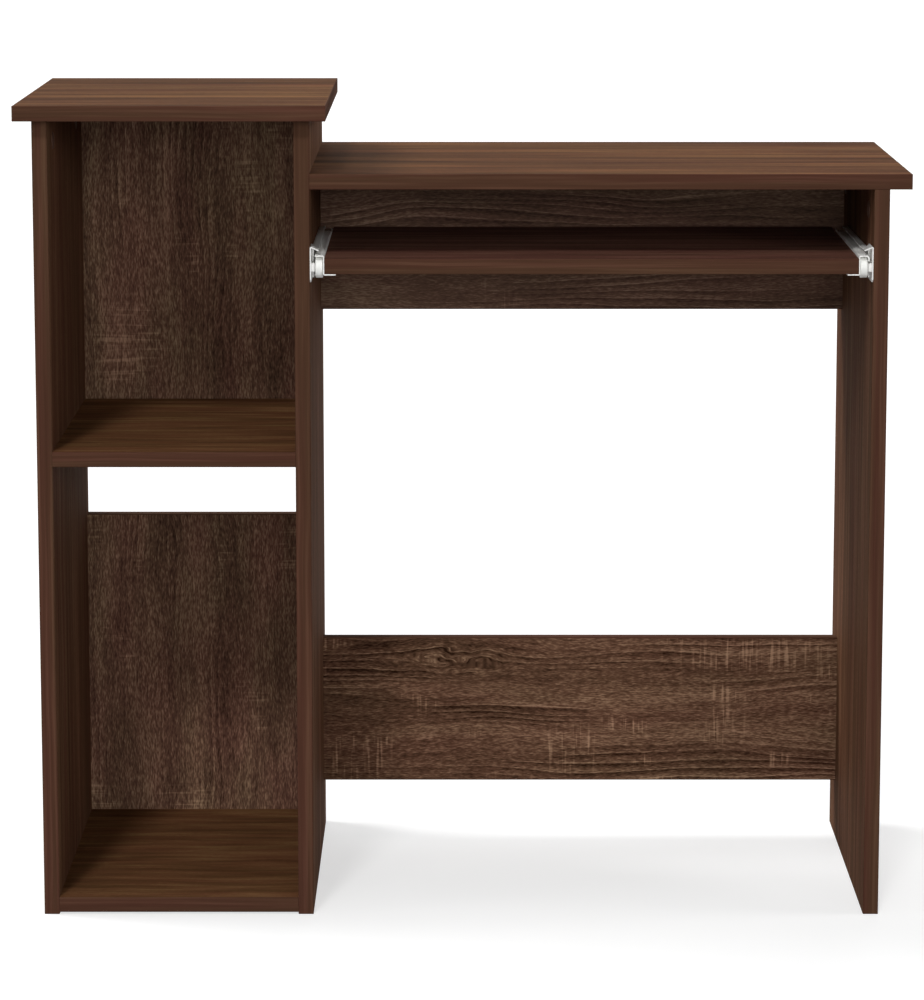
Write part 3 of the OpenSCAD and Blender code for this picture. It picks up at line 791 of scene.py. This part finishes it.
def roller(name, low, high, hub_sink):
    """A moulded nylon wheel, spun from a section: a bore, a round groove in each face and a crowned rim.
    On its right-hand face the hub is sunk to take the axle's head."""
    wheel_r = (high.z - low.z) / 2
    wall = wheel_r - axle_bore_r
    middle_y, middle_z = (low.y + high.y) / 2, (low.z + high.z) / 2
    bore_top = middle_z + axle_bore_r
    groove_low, groove_high = bore_top + 0.3 * wall, bore_top + 0.7 * wall
    groove_depth, rim_crown = 0.7 * MM, 0.9 * MM
    bpy.ops.object.select_all(action="DESELECT")
    bpy.ops.mesh.primitive_plane_add(
        size=1,
        location=((low.x + high.x) / 2, middle_y, middle_z + (axle_bore_r + wheel_r) / 2),
        rotation=(math.pi / 2, 0, 0),
    )
    piece = bpy.context.object
    piece.name = name
    piece.scale = (high.x - low.x, wall, 1)
    bpy.ops.object.transform_apply(location=True, rotation=True, scale=True)
    bpy.ops.object.mode_set(mode="EDIT")
    bpy.ops.mesh.delete(type="ONLY_FACE")
    for x, depth in ((low.x, groove_depth), (high.x, -groove_depth)):
        pick(piece, lambda p: same(p.x, x))
        bpy.ops.mesh.subdivide(number_cuts=4)
        slant(piece, lambda p: same(p.x, x) and groove_low < p.z < groove_high, (depth, 0, 0))
    slant(piece, lambda p: same(p.x, high.x) and p.z < groove_low, (-hub_sink, 0, 0))
    pick(piece, lambda p: same(p.z, middle_z + wheel_r), kind="VERT")
    bpy.ops.mesh.bevel(offset=rim_crown, segments=4, affect="VERTICES")
    bpy.ops.mesh.select_all(action="SELECT")
    bpy.ops.mesh.spin(steps=56, angle=2 * math.pi, center=(0, middle_y, middle_z), axis=(1, 0, 0))
    bpy.ops.mesh.select_all(action="SELECT")
    bpy.ops.mesh.remove_doubles(threshold=near / 10)
    bpy.ops.mesh.normals_make_consistent(inside=False)
    bpy.ops.object.mode_set(mode="OBJECT")
    return piece


channel = slide_channel("left_slide_channel")
other_channel = copy_of(channel, "right_slide_channel")
reflect(other_channel, slides_middle)
hand_over(channel, epoxy, "carcase", "left_cabinet_slide")
hand_over(other_channel, epoxy, "carcase", "right_cabinet_slide")

# only the right-hand runner has a lip, so it is modelled on the left with one and then reflected
runner = slide_runner("left_slide_runner")
lip_mid = 2 * slides_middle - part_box("right_tray_slide")[1].x + half_t
other_runner = slide_runner("right_slide_runner", lip_mid)
reflect(other_runner, slides_middle)
hand_over(runner, epoxy, "tray", "left_tray_slide")
hand_over(other_runner, epoxy, "tray", "right_tray_slide")

# the front rollers nearly fill the gap beside the runner's web; the rear ones run inside the track
roller_play = 0.4 * MM
front_high = roller_high.copy()
front_high.x = tray_low.x - sheet_t - roller_play
axle_head_x = roller_high.x
for place, low, high, sink in (
    ("front", roller_low, front_high, front_high.x - axle_head_x),
    ("rear", rear_low, rear_high, 0),
):
    wheel = roller(f"left_{place}_wheel", low, high, sink)
    other_wheel = copy_of(wheel, f"right_{place}_wheel")
    reflect(other_wheel, slides_middle)
    hand_over(wheel, nylon, f"left_{place}_roller", f"left_{place}_roller")
    hand_over(other_wheel, nylon, f"right_{place}_roller", f"right_{place}_roller")

# ---- Floor and light ----


def seen(tree):
    """1 for rays that show a surface, directly, in a gloss or through glass, and 0 for those that only
    bring light to another one."""
    ray = add(tree, "LightPath").node.outputs
    seen_or_mirrored = add(
        tree, "Math", {0: ray["Is Camera Ray"], 1: ray["Is Glossy Ray"]}, operation="MAXIMUM"
    )
    return add(tree, "Math", {0: seen_or_mirrored, 1: ray["Is Transmission Ray"]}, operation="MAXIMUM")


floor_size = 60
bpy.ops.mesh.primitive_plane_add(size=floor_size, location=(0, 0, 0))
floor = bpy.context.object
floor.name = "floor"
floor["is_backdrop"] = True

# the floor looks white and keeps a faint shadow, and sends the light of a grey floor up to the desk
floor_grey = 0.25
shadow_strength = 0.5
floor_glow = 0.62
floor_paint = bpy.data.materials.new("matt_white_floor")
floor_paint.use_nodes = True
tree = floor_paint.node_tree
tree.nodes.clear()
dull = add(tree, "BsdfDiffuse", {"Color": (floor_grey, floor_grey, floor_grey, 1)})
matt = add(tree, "BsdfDiffuse", {"Color": (shadow_strength, shadow_strength, shadow_strength, 1)})
glow = add(tree, "Emission", {"Color": (1, 1, 1, 1), "Strength": floor_glow})
white = add(tree, "AddShader", {0: matt, 1: glow})
mix = add(tree, "MixShader", {0: seen(tree), 1: dull, 2: white})
tree.links.new(mix, tree.nodes.new("ShaderNodeOutputMaterial").inputs["Surface"])
floor.data.materials.append(floor_paint)

# the room looks white too, and lights the desk only faintly
world = bpy.data.worlds.new("studio")
bpy.context.scene.world = world
world.use_nodes = True
tree = world.node_tree
tree.nodes.clear()
room_light = 0.07
level = add(tree, "Mix", {0: seen(tree), 2: room_light, 3: 1.0}, data_type="FLOAT")
sky = add(tree, "Background", {"Color": (1, 1, 1, 1), "Strength": level})
tree.links.new(sky, tree.nodes.new("ShaderNodeOutputWorld").inputs["Surface"])


def softbox(name, bearing, height, level, softness):
    """A large distant lamp. bearing goes round from the front towards the left and height is above the
    horizon, in degrees. level is the light it gives a white surface that faces it, and softness is how
    wide it looks, in degrees."""
    bpy.ops.object.light_add(type="SUN")
    lamp = bpy.context.object
    lamp.name = name
    lamp.data.energy = level * math.pi
    lamp.data.angle = math.radians(softness)
    lamp.rotation_euler = (math.radians(90 - height), 0, math.radians(-bearing))


softbox("key", 12, 41, 0.33, 8)
softbox("front_low", 0, 3, 0.20, 15)
softbox("front_left", 28, 18, 0.09, 15)
softbox("front_right", -10, 15, 0.07, 15)
softbox("right_fill", -30, 10, 0.18, 15)
softbox("left_fill", 75, 20, 0.13, 20)
softbox("left_high", 110, 45, 0.68, 25)
softbox("right_high", -90, 40, 0.22, 20)
softbox("back", 180, 30, 0.26, 40)

# ---- The object's bounds, without the floor ----

low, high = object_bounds()
